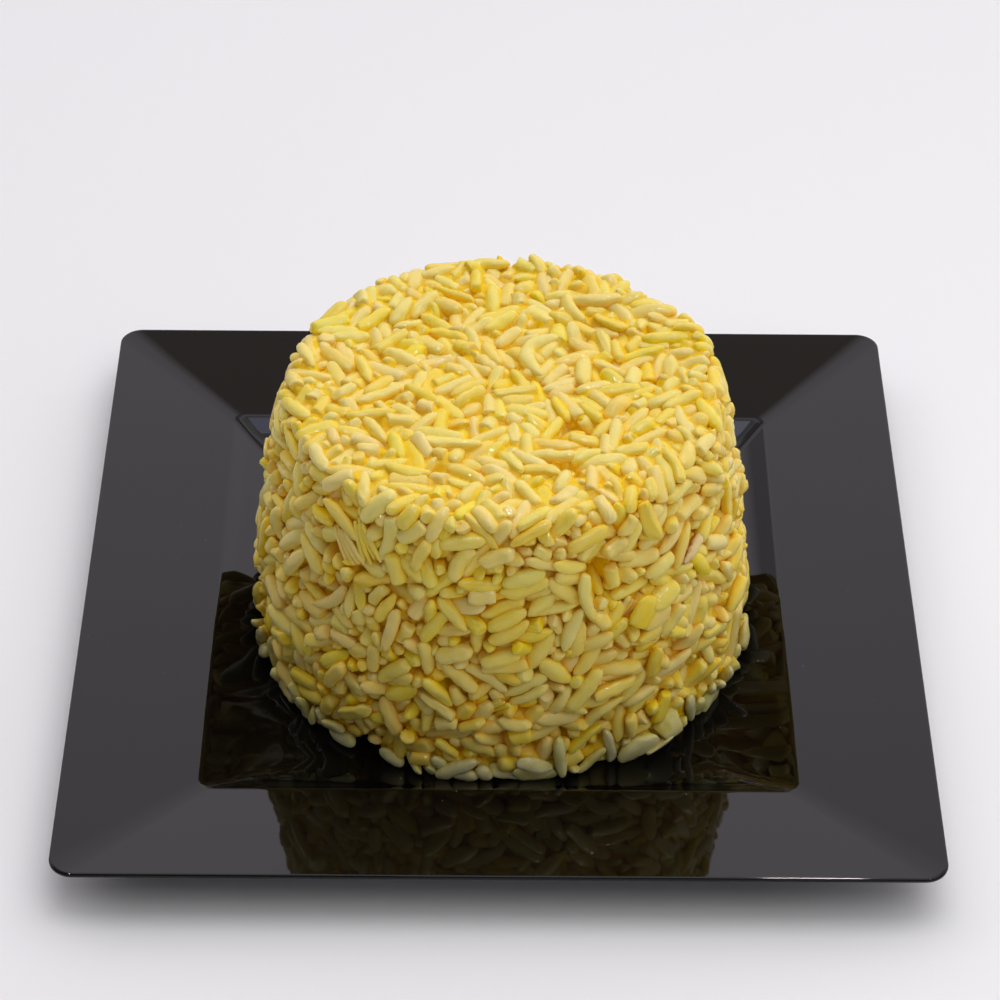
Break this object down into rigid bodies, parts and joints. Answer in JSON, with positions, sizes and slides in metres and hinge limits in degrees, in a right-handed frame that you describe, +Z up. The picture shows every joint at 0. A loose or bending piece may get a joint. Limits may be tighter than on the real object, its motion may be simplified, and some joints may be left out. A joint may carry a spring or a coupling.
{
  "type": "moulded rice pilaf on a square plate",
  "caption": "Yellow rice pilaf pressed in a round mould and turned out as a tapered, flat-topped mound in the well of a square, glossy black plastic plate.",
  "frame": {"origin": "middle of the plate's flat underside, on the table", "axes": "+Z up through the middle of the plate; +X and +Y along the sides of the plate, -Y the side towards the viewer"},
  "size_m": [0.165, 0.165, 0.0609],
  "materials": {
    "black_plastic": "mould-polished black polystyrene, clear reflections, a few specks of dust",
    "cooked_rice": "cooked rice, slightly translucent and moist, yellow from turmeric"
  },
  "bodies": {
    "root": {"plate": "black_plastic", "rice_mound": "cooked_rice"}
  },
  "joints": []
}
